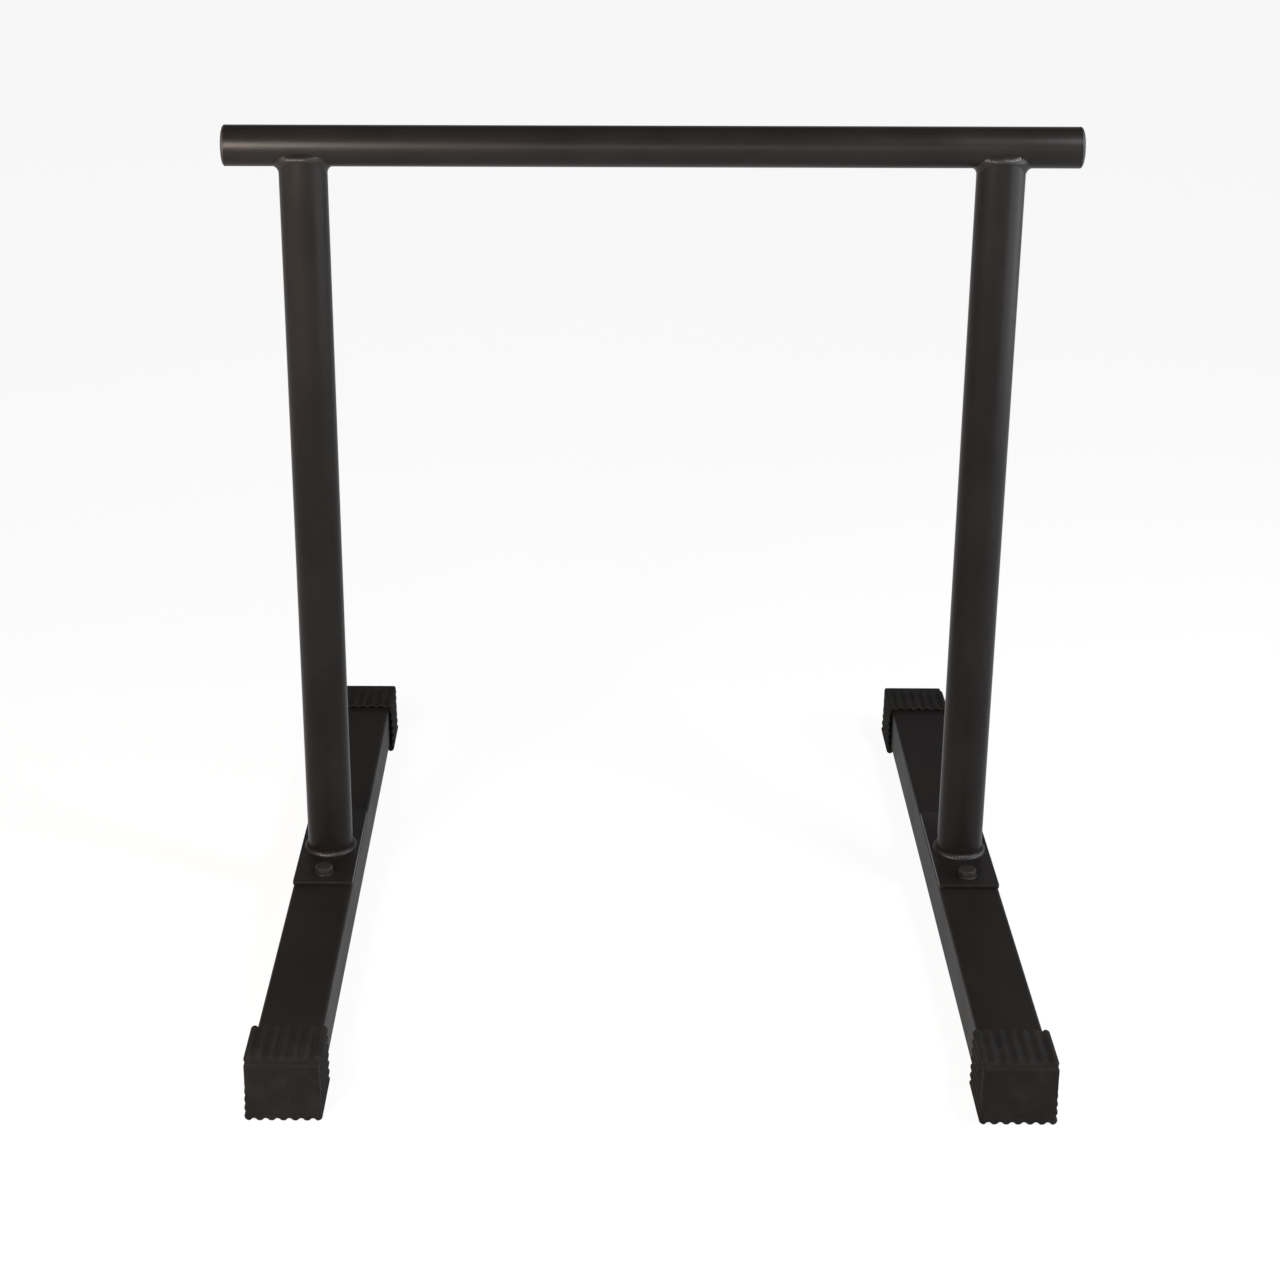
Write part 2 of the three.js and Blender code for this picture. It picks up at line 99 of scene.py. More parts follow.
class Finish:
    """The nodes of one finish, in a material's or the world's node tree."""

    def __init__(self, owner):
        owner.use_nodes = True
        self.owner = owner
        self.tree = owner.node_tree
        self.tree.nodes.clear()

    def node(self, kind, settings, sockets, output=0):
        """Adds one node: its settings first, then the values or links of its sockets."""
        made = self.tree.nodes.new(kind)
        for name, value in settings.items():
            setattr(made, name, value)
        for name, value in sockets.items():
            if isinstance(value, Reading):
                self.tree.links.new(value.socket, made.inputs[name])
            else:
                made.inputs[name].default_value = value
        return Reading(self, made.outputs[output]) if made.outputs else None

    def place(self):
        """The point of the object that is shaded."""
        return self.node("ShaderNodeTexCoord", {}, {}, "Object")

    def noise(self, place, scale, detail=2.0, roughness=0.5):
        """Cloudy noise about one half, with so many swells in a metre."""
        sockets = {"Vector": place, "Scale": scale, "Detail": detail, "Roughness": roughness}
        return self.node("ShaderNodeTexNoise", {}, sockets)

    def ramp(self, value, low, high, start=0.0, end=1.0):
        """Start where the value is at low, end where it is at high, and smooth between."""
        settings = {"interpolation_type": "SMOOTHSTEP"}
        sockets = {"Value": value, "From Min": low, "From Max": high}
        return self.node("ShaderNodeMapRange", settings, sockets | {"To Min": start, "To Max": end})

    def blend(self, share, first, second):
        """The first colour where the share is 0 and the second where it is 1. On a Mix
        node, inputs 6 and 7 are the two colours and output 2 is the mixed one."""
        sockets = {0: share, 6: first, 7: second}
        return self.node("ShaderNodeMix", {"data_type": "RGBA"}, sockets, 2)

    def dent(self, height, depth, normal=None):
        """The surface's normal over a relief as high as depth where height is 1."""
        sockets = {"Height": height, "Distance": depth}
        if normal is not None:
            sockets["Normal"] = normal
        return self.node("ShaderNodeBump", {}, sockets)

    def surface(self, sockets):
        """The finished material, with one surface shader that has these sockets."""
        shader = self.node("ShaderNodeBsdfPrincipled", {}, sockets)
        self.node("ShaderNodeOutputMaterial", {}, {"Surface": shader})
        return self.owner


def powder_coat(name, gloss=0.0, specular=coat_specular):
    """Fine-textured satin powder coat. Two sizes of noise make its orange peel and its
    grain, and broad clouds shift its colour and roughness. Gloss takes roughness off
    where the coat is rubbed smooth, and below zero adds some where it is scuffed."""
    coat = Finish(bpy.data.materials.new(name))
    place = coat.place()
    cloud = coat.noise(place, coat_cloud_scale, detail=3.0, roughness=0.55)
    grain = coat.noise(place, coat_grain_scale, detail=1.0)
    peel = coat.noise(place, coat_peel_scale)
    worn = coat.ramp(cloud, low=0.35, high=0.7)
    change = worn * coat_roughness_change + grain * coat_roughness_change
    relief = coat.dent(grain, coat_grain_height, coat.dent(peel, coat_peel_height))
    return coat.surface({
        "Base Color": coat.blend(worn, coat_black, coat_black_worn),
        "Roughness": coat_roughness - gloss + change,
        "Specular IOR Level": specular,
        "Normal": relief,
    })


def skin(rings, looped):
    """Points and faces over a row of rings of points, each turning counterclockwise
    about the way the row runs. A looped row joins its last ring to its first, and any
    other row is closed by a fan over each end."""
    count, size = rings.shape[:2]
    points = rings.reshape(-1, 3)
    turn = np.arange(size)
    onward = np.roll(turn, -1)
    here = np.arange(count if looped else count - 1)[:, None] * size
    there = (here + size) % (count * size)
    corners = (here + turn, here + onward, there + onward, there + turn)
    faces = np.stack(corners, -1).reshape(-1, 4).tolist()
    if not looped:
        middles = np.stack((rings[0].mean(0), rings[-1].mean(0)))
        first, last = len(points), len(points) + 1
        top = (count - 1) * size
        points = np.concatenate((points, middles))
        faces += np.stack((np.full(size, first), onward, turn), -1).tolist()
        faces += np.stack((np.full(size, last), top + turn, top + onward), -1).tolist()
    return points, faces


def make(name, rings, looped, sharp_degrees=tube_sharp_degrees):
    """An object with a skin over the rings, smooth but for edges past the sharp angle."""
    points, faces = skin(rings, looped)
    mesh = bpy.data.meshes.new(name)
    mesh.from_pydata(points.tolist(), [], faces)
    mesh.shade_smooth()
    mesh.set_sharp_from_angle(angle=np.radians(sharp_degrees))
    piece = bpy.data.objects.new(name, mesh)
    bpy.context.scene.collection.objects.link(piece)
    return piece


def finish_as(piece, material, slot, *nodes):
    """Gives a piece its finish and its body, and hides the CAD nodes that it stands for."""
    piece.data.materials.clear()
    piece.data.materials.append(material)
    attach(piece, "root")
    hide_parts(*nodes)


def rounded_outline(half_width, half_height, corner):
    """Points round a rectangle with arcs for corners, counterclockwise, as two columns.
    One more point lies just before and just after each arc, on the flat."""
    bend = np.concatenate(([0], np.linspace(0, 1, corner_steps + 1), [1])) * np.pi / 2
    slide = np.concatenate(([-flat_margin], np.zeros(corner_steps + 1), [flat_margin]))
    angle = (np.arange(4)[:, None] * np.pi / 2 + bend).ravel()
    slide = np.tile(slide, 4)
    right = np.repeat([1, -1, -1, 1], len(bend)) * (half_width - corner)
    up = np.repeat([1, 1, -1, -1], len(bend)) * (half_height - corner)
    across = right + corner * np.cos(angle) - slide * np.sin(angle)
    along = up + corner * np.sin(angle) + slide * np.cos(angle)
    return np.stack((across, along), -1)


def ring_stack(outlines, heights):
    """Rings in three columns from a list of two-column outlines and their heights."""
    flat = np.stack(outlines)
    level = np.broadcast_to(np.asarray(heights)[:, None, None], flat.shape[:2] + (1,))
    return np.concatenate((flat, level), -1)


def circle(radius, count):
    """Points round a circle, counterclockwise, as two columns."""
    angle = np.arange(count) / count * 2 * np.pi
    return radius * np.stack((np.cos(angle), np.sin(angle)), -1)


def drill(piece, places, low, high):
    """Cuts a bolt hole along Z through the piece at each place, from low to high."""
    for place in places:
        hole = circle(bolt_hole_radius, hole_sides) + place
        cutter = make("drill", ring_stack([hole, hole], [low, high]), looped=False)
        cut = piece.modifiers.new("drill", "BOOLEAN")
        cut.object = cutter
        evaluated = piece.evaluated_get(bpy.context.evaluated_depsgraph_get())
        piece.data = bpy.data.meshes.new_from_object(evaluated)
        piece.modifiers.clear()
        bpy.data.objects.remove(cutter)
    piece.data.set_sharp_from_angle(angle=np.radians(tube_sharp_degrees))


def middle_of(low, high):
    """The middle of a box as X and Y, and zero for Z."""
    return np.array([(low.x + high.x) / 2, (low.y + high.y) / 2, 0])


def bolt_places(side):
    """The middle of each bolt of one base plate, as X and Y."""
    return [middle_of(*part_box(f"hex_bolt_{side}_{end}"))[:2] for end in ends]


tube_coat = powder_coat("floor_tube_coat", gloss=-0.12, specular=0.06)

for side in sides:
    low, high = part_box(f"floor_tube_{side}")
    half_width, half_height = (high.x - low.x) / 2, (high.z - low.z) / 2
    bore = half_width - tube_wall, half_height - tube_wall, tube_corner - tube_wall
    outer, inner = rounded_outline(half_width, half_height, tube_corner), rounded_outline(*bore)
    stack = ring_stack([outer, outer, inner, inner], [low.y, high.y, high.y, low.y])
    rings = np.stack((
        (low.x + high.x) / 2 - stack[..., 0],
        stack[..., 2],
        (low.z + high.z) / 2 + stack[..., 1],
    ), -1)
    tube = make(f"floor_tube_{side}_steel", rings, looped=True)
    drill(tube, bolt_places(side), high.z - 2 * tube_wall, high.z + tube_wall)
    finish_as(tube, tube_coat, "frame_powder_coat", f"floor_tube_{side}")

# Weld nuts. A square steel nut is projection welded under each bolt hole, inside the
# floor tube, where no powder reaches it. It stays plain steel, dulled and tinted by the
# heat of the weld.
nut_steel = (0.42, 0.40, 0.37, 1)
nut_straw_tint = (0.33, 0.24, 0.13, 1)
nut_blue_tint = (0.12, 0.14, 0.20, 1)
nut_heat_scale = 140
nut_mark_scale = 1800
nut_mark_height = 0.00001
nut_roughness = 0.34
nut_mark_roughness = 0.2


def heated_steel(name):
    """Plain steel with patches of straw and blue temper colour and faint mill marks."""
    steel = Finish(bpy.data.materials.new(name))
    place = steel.place()
    heat = steel.noise(place, nut_heat_scale, detail=3.0)
    marks = steel.noise(place, nut_mark_scale, detail=4.0, roughness=0.7)
    straw = steel.blend(steel.ramp(heat, low=0.42, high=0.56), nut_steel, nut_straw_tint)
    return steel.surface({
        "Base Color": steel.blend(steel.ramp(heat, low=0.55, high=0.68), straw, nut_blue_tint),
        "Metallic": 1.0,
        "Roughness": nut_roughness + marks * nut_mark_roughness,
        "Normal": steel.dent(marks, nut_mark_height),
    })


nut_finish = heated_steel("weld_nut_steel")

for side in sides:
    for end in ends:
        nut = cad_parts[f"weld_nut_{side}_{end}"]
        nut.data.materials.clear()
        nut.data.materials.append(nut_finish)

# Rubber caps. A moulded black rubber cap is pushed over each end of the floor tubes, and
# the stand rests on the four of them. Its ribs slope down behind the smooth closed face,
# the more the higher they lie, and a funnel in its mouth eases it onto the tube.
cap_rib_heights = (0.0013, 0.0019, 0.0013, 0.0019)  # right, top, left and sole
cap_rib_count = 7
cap_corner = 0.0022
cap_corner_rib_half = 0.0015
cap_mouth_round = 0.0005
cap_mouth_rim = 0.0004
cap_mouth_depth = 0.0032
cap_mouth_steps = 5
cap_run_out = 0.004
cap_run_out_share = 0.7  # of the cap's height, above which the ribs run out to nothing
cap_run_out_steps = 13
cap_smooth_band = 0.007
cap_face_round = 0.002
cap_face_steps = 8
cap_end_wall = 0.005
cap_floor_inset = 2 * cap_corner
cap_groove_floor_share = 0.06
cap_groove_edge_share = 0.4
cap_side_steps = 140
cap_corner_bend = np.linspace(0, 1, corner_steps + 1)[1:-1] * np.pi / 2
rubber_black = (0.0078, 0.0077, 0.0075, 1)
rubber_bloom = (0.0117, 0.0115, 0.0111, 1)
rubber_specular = 0.05
rubber_roughness = 0.68
rubber_bloom_roughness = 0.12
rubber_grain_roughness = 0.08
rubber_bloom_scale = 55
rubber_grain_scale = 1500
rubber_pit_scale = 420
rubber_relief_height = 0.00003


def smooth_step(value, low, high):
    """0 below low, 1 above high, and a smooth rise between."""
    share = np.clip((value - low) / (high - low), 0, 1)
    return share * share * (3 - 2 * share)


def side_and_corner(run, reach, end, corner):
    """Distances out from the axis and along one side, whose face lies at its reach: the
    straight run, then a quarter arc round the corner at the side's end."""
    arc_out = reach - corner * (1 - np.cos(cap_corner_bend))
    arc_along = end - corner * (1 - np.sin(cap_corner_bend))
    return np.concatenate((np.full(len(run), reach), arc_out)), np.concatenate((run, arc_along))


def quarter_turned(out, along, side):
    """Points of the right side, turned about the axis by a quarter for each side on."""
    turn = side * np.pi / 2
    across = out * np.cos(turn) - along * np.sin(turn)
    up = out * np.sin(turn) + along * np.cos(turn)
    return np.stack((across, up), -1)


def ribbed_outline(reaches, inset, run_out):
    """Points round the cap about the tube's axis, counterclockwise from the right. A side
    is a straight run and a quarter arc, along which its ribs' height turns into the next
    side's. Each point stands out by that height, less in a smooth wave of grooves, and
    less by the run-out times its own height's share, up to the run-out share."""
    points = []
    bottom, top = -reaches[3], reaches[1]
    for side in range(4):
        onward = (side + 1) % 4
        reach, end, start = reaches[side], reaches[onward], -reaches[(side + 3) % 4]
        pitch = (end - start - 2 * cap_corner_rib_half) / (cap_rib_count - 1)
        run = np.linspace(start + cap_corner, end - cap_corner, cap_side_steps)
        ribs_along = (run - start - cap_corner_rib_half) / pitch
        groove = np.clip(np.floor(ribs_along), 0, cap_rib_count - 2) + 0.5
        from_groove = np.abs(ribs_along - groove)
        rib = smooth_step(from_groove, cap_groove_floor_share, cap_groove_edge_share)
        here, there = cap_rib_heights[side], cap_rib_heights[onward]
        arc_height = here + (there - here) * cap_corner_bend / (np.pi / 2)
        rib_height = np.concatenate((rib * here, arc_height))
        foot = quarter_turned(*side_and_corner(run, reach, end, cap_corner), side)
        lean = np.concatenate((np.zeros(cap_side_steps), cap_corner_bend)) + side * np.pi / 2
        height_share = (foot[:, 1] - bottom) / (top - bottom)
        kept_share = 1 - run_out * np.minimum(1, height_share / cap_run_out_share)
        offset = rib_height * kept_share - inset
        points.append(foot + offset[:, None] * np.stack((np.cos(lean), np.sin(lean)), -1))
    return np.concatenate(points)


def socket_outline(half_width, half_height):
    """The socket's round-cornered outline, with as many points as the ribbed one."""
    points = []
    for side in range(4):
        reach = (half_width, half_height)[side % 2]
        end = (half_width, half_height)[(side + 1) % 2]
        run = np.linspace(-1, 1, cap_side_steps) * (end - tube_corner)
        points.append(quarter_turned(*side_and_corner(run, reach, end, tube_corner), side))
    return np.concatenate(points)


def cap_rings(reaches, length, half_width, half_height):
    """The cap's rings from its socket's floor, out along the mouth's funnel, over its rim
    and along the outside to the closed face, whose edge is a quarter arc, at heights from
    the mouth."""
    outlines, heights = [], []

    def socket(inset, level):
        outlines.append(socket_outline(half_width - inset, half_height - inset))
        heights.append(level)

    def outside(inset, run_out, level):
        outlines.append(ribbed_outline(reaches, inset, run_out))
        heights.append(level)

    socket(cap_floor_inset, length - cap_end_wall)
    socket(0, length - cap_end_wall)
    socket(0, cap_mouth_depth)
    outside(cap_mouth_round + cap_mouth_rim, 0, 0)
    for bend in np.linspace(0, 1, cap_mouth_steps + 1) * np.pi / 2:
        outside(cap_mouth_round * (1 - np.sin(bend)), 0, cap_mouth_round * (1 - np.cos(bend)))
    rib_end = length - cap_smooth_band
    for level in np.linspace(rib_end - cap_run_out, rib_end, cap_run_out_steps + 1):
        outside(0, smooth_step(level, rib_end - cap_run_out, rib_end), level)
    round_start = length - cap_face_round
    for bend in np.linspace(0, 1, cap_face_steps + 1) * np.pi / 2:
        level = round_start + cap_face_round * np.sin(bend)
        outside(cap_face_round * (1 - np.cos(bend)), 1, level)
    outside(cap_face_round + flat_margin, 1, length)
    return ring_stack(outlines, heights)


def moulded_rubber(name):
    """Matte black rubber: a fine moulded grain, and a faint grey bloom in clouds."""
    rubber = Finish(bpy.data.materials.new(name))
    place = rubber.place()
    bloom = rubber.noise(place, rubber_bloom_scale, detail=4.0, roughness=0.6)
    grain = rubber.noise(place, rubber_grain_scale, detail=3.0, roughness=0.6)
    pits = rubber.dent(rubber.noise(place, rubber_pit_scale), rubber_relief_height)
    bloomed = rubber.ramp(bloom, low=0.35, high=0.75)
    change = bloom * rubber_bloom_roughness + grain * rubber_grain_roughness
    return rubber.surface({
        "Base Color": rubber.blend(bloomed, rubber_black, rubber_bloom),
        "Roughness": rubber_roughness + change,
        "Specular IOR Level": rubber_specular,
        "Normal": rubber.dent(grain, rubber_relief_height, pits),
    })


cap_rubber = moulded_rubber("foot_cap_rubber")

for side in sides:
    tube_low, tube_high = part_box(f"floor_tube_{side}")
    axis_x, axis_z = (tube_low.x + tube_high.x) / 2, (tube_low.z + tube_high.z) / 2
    tube_half_width = (tube_high.x - tube_low.x) / 2
    tube_half_height = (tube_high.z - tube_low.z) / 2
    for end, direction in ends.items():
        low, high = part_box(f"foot_cap_{side}_{end}")
        half_width = (high.x - low.x) / 2 - cap_rib_heights[0]
        top = high.z - axis_z - cap_rib_heights[1]
        bottom = axis_z - low.z - cap_rib_heights[3]
        reaches = (half_width, top, half_width, bottom)
        stack = cap_rings(reaches, high.y - low.y, tube_half_width, tube_half_height)
        mouth = high.y if direction < 0 else low.y
        rings = np.stack((
            axis_x - direction * stack[..., 0],
            mouth + direction * stack[..., 2],
            axis_z + stack[..., 1],
        ), -1)
        cap = make(f"foot_cap_{side}_{end}_rubber", rings, looped=False)
        finish_as(cap, cap_rubber, "cap_rubber", f"foot_cap_{side}_{end}")

# Base plates. Under each upright lies a flat steel plate as wide as the floor tube. It
# is sawn from bar, its edges are eased before coating, and it is drilled at the front
# and the back for the bolts.
plate_corner = 0.003
plate_edge_round = 0.0008
plate_edge_steps = 5

plate_coat = powder_coat("base_plate_coat")

for side in sides:
    low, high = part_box(f"base_plate_{side}")
    half_width, half_length = (high.x - low.x) / 2, (high.y - low.y) / 2
    thickness = high.z - low.z
    bend = np.linspace(0, 1, plate_edge_steps + 1) * np.pi / 2
    inset = plate_edge_round * (1 - np.sin(bend))
    level = plate_edge_round * (1 - np.cos(bend))
    face_inset = [plate_edge_round + flat_margin]
    insets = np.concatenate((face_inset, inset, inset[::-1], face_inset))
    levels = np.concatenate(([0], level, thickness - level[::-1], [thickness]))
    outlines = [rounded_outline(half_width - i, half_length - i, plate_corner - i) for i in insets]
    rings = ring_stack(outlines, low.z + levels) + middle_of(low, high)
    plate = make(f"base_plate_{side}_steel", rings, looped=False)
    drill(plate, bolt_places(side), low.z - tube_wall, high.z + tube_wall)
    finish_as(plate, plate_coat, "frame_powder_coat", f"base_plate_{side}")

# Uprights. Each is a 38 mm round steel tube that stands on its base plate. Its mouth is
# coped by a 32 mm hole saw to cradle the grip bar, and because the tube is wider than
# the bar, the mouth ends in a low lip at the front and at the back.
upright_wall = 0.002
cope_lip_drop = 0.007
round_sides = 160

grip_low, grip_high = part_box("grip_bar")
grip_axis = (grip_low.z + grip_high.z) / 2
grip_radius = (grip_high.z - grip_low.z) / 2
upright_coat = powder_coat("upright_coat", gloss=0.04, specular=0.07)


def coped_rings(radius, foot):
    """Two rings of a tube: a level one at its foot, and one at its mouth, as high as the
    underside of the bar over each point, and no higher than the lips."""
    outline = circle(radius, round_sides)
    under_bar = np.sqrt(np.maximum(grip_radius**2 - outline[:, 1] ** 2, cope_lip_drop**2))
    mouth = grip_axis - under_bar
    foot_ring = np.concatenate((outline, np.full((round_sides, 1), foot)), -1)
    mouth_ring = np.concatenate((outline, mouth[:, None]), -1)
    return foot_ring, mouth_ring


for side in sides:
    low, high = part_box(f"upright_{side}")
    radius = (high.x - low.x) / 2
    outer_foot, outer_mouth = coped_rings(radius, low.z)
    inner_foot, inner_mouth = coped_rings(radius - upright_wall, low.z)
    rings = np.stack((outer_foot, outer_mouth, inner_mouth, inner_foot)) + middle_of(low, high)
    upright = make(f"upright_{side}_steel", rings, looped=True)
    finish_as(upright, upright_coat, "frame_powder_coat", f"upright_{side}")

# Base welds. A fillet bead runs once round the foot of each upright and fuses it to its
# plate. The coat lies over its ripples and softens them.
bead_sections = 720
bead_face_steps = 14
bead_sharp_degrees = 60
bead_swells = ((0.5, 2, 1), (0.3, 5, 2))  # height, swells in a turn, shift in starts
bead_swell_share = 0.07
bead_lap_share = 0.12
bead_lap_width = 0.09
bead_ripple_height = 0.00008
bead_ripple_lag = 1.4  # how far a ripple trails at the toes, in radians
bead_sink = 0.00008  # how far the toes run into the tube and the plate
base_weld_leg = 0.0034
base_weld_crown_share = 0.5
base_weld_root_sink = 4 * bead_sink
base_weld_ripples = 66
base_weld_starts = {"left": 0.9, "right": 2.2}  # where the bead begins, in radians
weld_coat = powder_coat("weld_coat", gloss=0.02, specular=0.2)


def bead_waver(angle, start):
    """The slow unevenness of a bead laid by hand, as a share of its leg: sine waves round
    the bead, and a bell-shaped swelling where the bead's end laps over its start."""
    swell = sum(
        height * np.sin(count * angle + shift * start) for height, count, shift in bead_swells
    )
    lap = np.exp(-((np.sin((angle - start) / 2) / bead_lap_width) ** 2))
    return bead_swell_share * swell + bead_lap_share * lap


def bead_face(toe, crown, other_toe, outward, angle, ripples):
    """A bead's face between its toes: a quadratic Bezier curve through the pull of its
    crown, raised by a row of ripples that trail towards the toes like crescents."""
    share = np.linspace(0, 1, bead_face_steps + 1)[None, :, None]
    pull = 2 * share * (1 - share)
    curve = (1 - share) ** 2 * toe[:, None] + pull * crown[:, None] + share**2 * other_toe[:, None]
    lag = bead_ripple_lag * (2 * share - 1) ** 2
    wave = np.cos(ripples * angle[:, None, None] - lag)
    height = bead_ripple_height * wave * 4 * share * (1 - share)
    return curve + height * outward[:, None]


def base_bead(radius, foot, start):
    """Sections of the ring bead, each the root and a face from the tube to the plate. The
    crown lies beyond the middle of the two toes, away from the corner that it fills."""
    angle = np.arange(bead_sections) / bead_sections * 2 * np.pi
    leg = base_weld_leg * (1 + bead_waver(angle, start))
    around = np.stack((np.cos(angle), np.sin(angle), np.zeros_like(angle)), -1)
    up = np.array([0, 0, 1.0])
    root = (radius - base_weld_root_sink) * around + (foot - base_weld_root_sink) * up
    upper = (radius - bead_sink) * around + (foot + leg)[:, None] * up
    lower = (radius + leg)[:, None] * around + (foot - bead_sink) * up
    corner = radius * around + foot * up
    middle = (upper + lower) / 2
    crown = middle + base_weld_crown_share * (middle - corner)
    outward = (around + up) / np.sqrt(2)
    face = bead_face(upper, crown, lower, outward, angle, base_weld_ripples)
    return np.concatenate((root[:, None], face), 1)


for side, start in base_weld_starts.items():
    low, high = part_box(f"upright_{side}")
    rings = base_bead((high.x - low.x) / 2, low.z, start) + middle_of(low, high)
    bead = make(f"base_weld_{side}_bead", rings, looped=True, sharp_degrees=bead_sharp_degrees)
    finish_as(bead, weld_coat, "frame_powder_coat", f"base_weld_{side}")

# Grip bar. A 32 mm round steel tube lies across the uprights, welded into their mouths.
# It is coated like the rest, and hands rub its coat a little smoother.
grip_wall = 0.002
grip_coat = powder_coat("grip_bar_coat", gloss=0.05, specular=0.11)


def lying(rings, middle_height):
    """Turns rings that stand along Z so that they lie along X at the given height."""
    return rings[..., [2, 0, 1]] + (0, 0, middle_height)


outer, inner = circle(grip_radius, round_sides), circle(grip_radius - grip_wall, round_sides)
grip_ends = [grip_low.x, grip_high.x, grip_high.x, grip_low.x]
grip_rings = lying(ring_stack([outer, outer, inner, inner], grip_ends), grip_axis)
grip_bar = make("grip_bar_steel", grip_rings, looped=True)
finish_as(grip_bar, grip_coat, "frame_powder_coat", "grip_bar")

# Saddle welds. A fillet bead follows the coped mouth of each upright all the way round
# under the grip bar. At the sides it is hollow and fills a corner, and over the mouth's
# front and back lips it is short and full.
saddle_weld_leg = 0.0043
saddle_root_depth = 0.001
saddle_hollow_share = -0.45
saddle_crown_share = 0.8
saddle_lip_leg_share = 0.4
saddle_toe_share = 0.06
saddle_lip_power = 6
saddle_weld_ripples = 72
saddle_weld_starts = {"left": 4.1, "right": 5.2}


def on_grip(x, turn, radius):
    """A point on a cylinder about the grip bar's axis, turned from straight below it."""
    return np.stack((x, radius * np.sin(turn), grip_axis - radius * np.cos(turn)), -1)


def saddle_bead(radius, start):
    """Sections of the saddle bead. The root lies where the upright's outside meets the bar
    and levels out along the lips, as a power mean takes it there. One toe is a leg away on
    the bar and the other a leg down the upright, less of it below the lips."""
    angle = np.arange(bead_sections) / bead_sections * 2 * np.pi
    leg = saddle_weld_leg * (1 + bead_waver(angle, start))
    across, along = np.cos(angle), np.sin(angle)
    lip = np.sqrt(grip_radius**2 - cope_lip_drop**2)
    reach = radius * along / lip
    root_y = lip * reach / (1 + np.abs(reach) ** saddle_lip_power) ** (1 / saddle_lip_power)
    root_turn = np.arcsin(root_y / grip_radius)
    root_x = (radius - saddle_root_depth) * across
    root = on_grip(root_x, root_turn, grip_radius - saddle_root_depth)
    toe_turn = root_turn + leg / grip_radius * along
    bar_toe = on_grip((radius + leg) * across, toe_turn, grip_radius - bead_sink)
    toe_radius = radius + saddle_toe_share * leg
    drop = leg * (1 + (saddle_lip_leg_share - 1) * along**2)
    toe_height = grip_axis - grip_radius * np.cos(root_turn) - drop
    upright_toe = np.stack((toe_radius * across, toe_radius * along, toe_height), -1)
    middle = (bar_toe + upright_toe) / 2
    lip_share = (along**2)[:, None]
    crown_share = saddle_hollow_share + (saddle_crown_share - saddle_hollow_share) * lip_share
    crown = middle + crown_share * (middle - root)
    outward = middle - root
    outward = outward / np.linalg.norm(outward, axis=-1, keepdims=True)
    face = bead_face(bar_toe, crown, upright_toe, outward, angle, saddle_weld_ripples)
    buried = (toe_radius - radius + 2 * bead_sink)[:, None]
    inward = buried * np.stack((across, along, np.zeros_like(angle)), -1)
    buried_toe = upright_toe - inward - (0, 0, bead_sink)
    return np.concatenate((root[:, None], face, buried_toe[:, None]), 1)


for side, start in saddle_weld_starts.items():
    low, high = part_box(f"upright_{side}")
    rings = saddle_bead((high.x - low.x) / 2, start) + middle_of(low, high)
    bead = make(f"saddle_weld_{side}_bead", rings, looped=True, sharp_degrees=bead_sharp_degrees)
    finish_as(bead, weld_coat, "frame_powder_coat", f"saddle_weld_{side}")

# End plugs. A moulded plastic plug is pushed into each end of the grip bar. Its barbed
# hollow shank grips the bore, and its flange covers the tube's end.
plug_flange = 0.0025
plug_edge_depth = 0.0018
plug_edge_width = 0.0030
plug_edge_steps = 8
plug_shank_length = 0.016
plug_shank_wall = 0.0024
plug_barb_depth = 0.001
plug_barb_count = 2
plug_face_dish = 0.0002
plug_face_shares = np.array([0.93, 0.86, 0.5, 0.1])  # of the face's radius, at its rings
plug_sharp_degrees = 35
plug_black = (0.0095, 0.0092, 0.0090, 1)
plug_black_pale = (0.0130, 0.0126, 0.0122, 1)
plug_specular = 0.3
plug_roughness = 0.55
plug_spark_roughness = 0.1
plug_cloud_scale = 90
plug_spark_scale = 2200
plug_spark_height = 0.000012


def moulded_plastic(name):
    """Satin black plastic with the fine spark grain of its mould."""
    plastic = Finish(bpy.data.materials.new(name))
    place = plastic.place()
    cloud = plastic.noise(place, plug_cloud_scale)
    spark = plastic.noise(place, plug_spark_scale, detail=3.0, roughness=0.65)
    pale = plastic.ramp(cloud, low=0.3, high=0.7)
    return plastic.surface({
        "Base Color": plastic.blend(pale, plug_black, plug_black_pale),
        "Roughness": plug_roughness + spark * plug_spark_roughness,
        "Specular IOR Level": plug_specular,
        "Normal": plastic.dent(spark, plug_spark_height),
    })


def plug_profile():
    """Radius and height from the hollow's floor, over the shank's end and its barbs, to
    the flange, whose edge is a quarter ellipse and whose face is dished a little. The
    face is at zero and the shank points down."""
    barb_radius = grip_radius - grip_wall
    shank_radius = barb_radius - plug_barb_depth
    hollow_radius = shank_radius - plug_shank_wall
    seat = -plug_flange
    shank_end = seat - plug_shank_length
    pitch = plug_shank_length / (plug_barb_count + 1)
    barbs = np.repeat(shank_end + pitch * np.arange(1, plug_barb_count + 1), 2)
    bend = np.linspace(0, 1, plug_edge_steps + 1) * np.pi / 2
    radius = np.concatenate((
        [hollow_radius, hollow_radius, shank_radius],
        np.tile([barb_radius, shank_radius], plug_barb_count),
        [shank_radius, grip_radius],
        grip_radius - plug_edge_width * (1 - np.cos(bend)),
        plug_face_shares * (grip_radius - plug_edge_width),
    ))
    height = np.concatenate((
        [seat, shank_end, shank_end],
        barbs,
        [seat, seat],
        -plug_edge_depth * (1 - np.sin(bend)),
        -plug_face_dish * (1 - plug_face_shares) / (1 - plug_face_shares[-1]),
    ))
    return radius, height


def turned(radius, height, count):
    """Rings about Z through the points of a profile."""
    return ring_stack([circle(r, count) for r in radius], height)


plug_plastic = moulded_plastic("end_plug_plastic")

